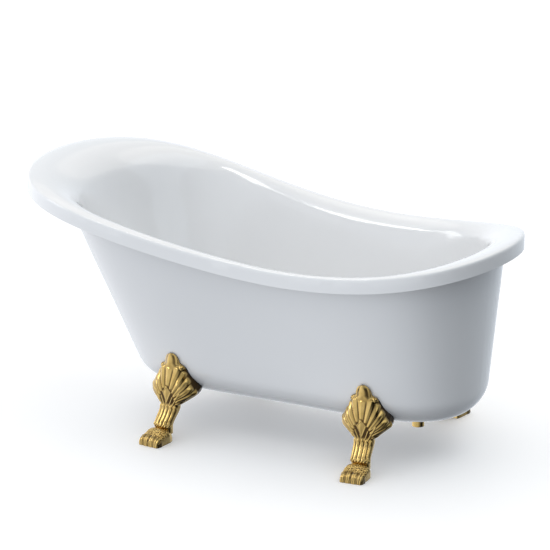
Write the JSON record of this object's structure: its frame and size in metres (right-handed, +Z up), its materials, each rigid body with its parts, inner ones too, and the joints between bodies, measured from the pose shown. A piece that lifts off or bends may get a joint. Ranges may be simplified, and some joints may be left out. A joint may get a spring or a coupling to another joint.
{
  "type": "clawfoot bathtub",
  "caption": "Freestanding slipper bathtub: white double-walled shell with a raised backrest and a broad rolled rim, standing on gold claw feet, with waste and overflow.",
  "frame": {"origin": "on the floor, under the middle of the tub's overall box", "axes": "+X towards the foot end with the waste and the overflow, the raised backrest is at -X, +Y to the far side, +Z up"},
  "size_m": [1.6004, 0.8124, 0.7772],
  "materials": {
    "white_acrylic": "gloss",
    "polished_gold": "polished",
    "black_rubber": "matte",
    "zinc_plated_steel": "satin",
    "plywood": "matte",
    "grey_pipe_plastic": "satin",
    "bonding_resin": "matte"
  },
  "bodies": {
    "tub": {"basin": "white_acrylic", "skirt": "white_acrylic", "rim_bond": "bonding_resin", "base_board": "plywood", "base_battens": "plywood", "claw_foot_front_head": "polished_gold", "foot_pad_front_head": "black_rubber", "foot_block_front_head": "plywood", "claw_foot_front_drain": "polished_gold", "foot_pad_front_drain": "black_rubber", "foot_block_front_drain": "plywood", "claw_foot_rear_head": "polished_gold", "foot_pad_rear_head": "black_rubber", "foot_block_rear_head": "plywood", "claw_foot_rear_drain": "polished_gold", "foot_pad_rear_drain": "black_rubber", "foot_block_rear_drain": "plywood", "foot_studs": "zinc_plated_steel", "foot_washers": "zinc_plated_steel", "foot_nuts": "zinc_plated_steel", "drain_flange": "polished_gold", "overflow_cover": "polished_gold", "cover_screw": "polished_gold", "tailpiece": "polished_gold", "slip_nut": "polished_gold", "drain_shoe": "polished_gold", "drain_gasket": "black_rubber", "drain_seal": "black_rubber", "slip_ring": "black_rubber", "overflow_gasket": "black_rubber", "overflow_seal": "black_rubber", "overflow_body": "grey_pipe_plastic", "overflow_pipe": "grey_pipe_plastic", "pipe_clips": "zinc_plated_steel"},
    "stopper": {"drain_stopper": "polished_gold", "stopper_ring": "black_rubber"},
    "leveler_front_head": {"leveler_front_head": "zinc_plated_steel"},
    "leveler_front_drain": {"leveler_front_drain": "zinc_plated_steel"},
    "leveler_rear_head": {"leveler_rear_head": "zinc_plated_steel"},
    "leveler_rear_drain": {"leveler_rear_drain": "zinc_plated_steel"}
  },
  "joints": [
    {"name": "stopper_lift", "type": "slide", "parent": "tub", "child": "stopper", "axis": [0, 0, 1], "range_m": [0, 0.009]},
    {"name": "level_front_head", "type": "slide", "parent": "tub", "child": "leveler_front_head", "axis": [0, 0, -1], "range_m": [0, 0.01]},
    {"name": "level_front_drain", "type": "slide", "parent": "tub", "child": "leveler_front_drain", "axis": [0, 0, -1], "range_m": [0, 0.01]},
    {"name": "level_rear_head", "type": "slide", "parent": "tub", "child": "leveler_rear_head", "axis": [0, 0, -1], "range_m": [0, 0.01]},
    {"name": "level_rear_drain", "type": "slide", "parent": "tub", "child": "leveler_rear_drain", "axis": [0, 0, -1], "range_m": [0, 0.01]}
  ]
}
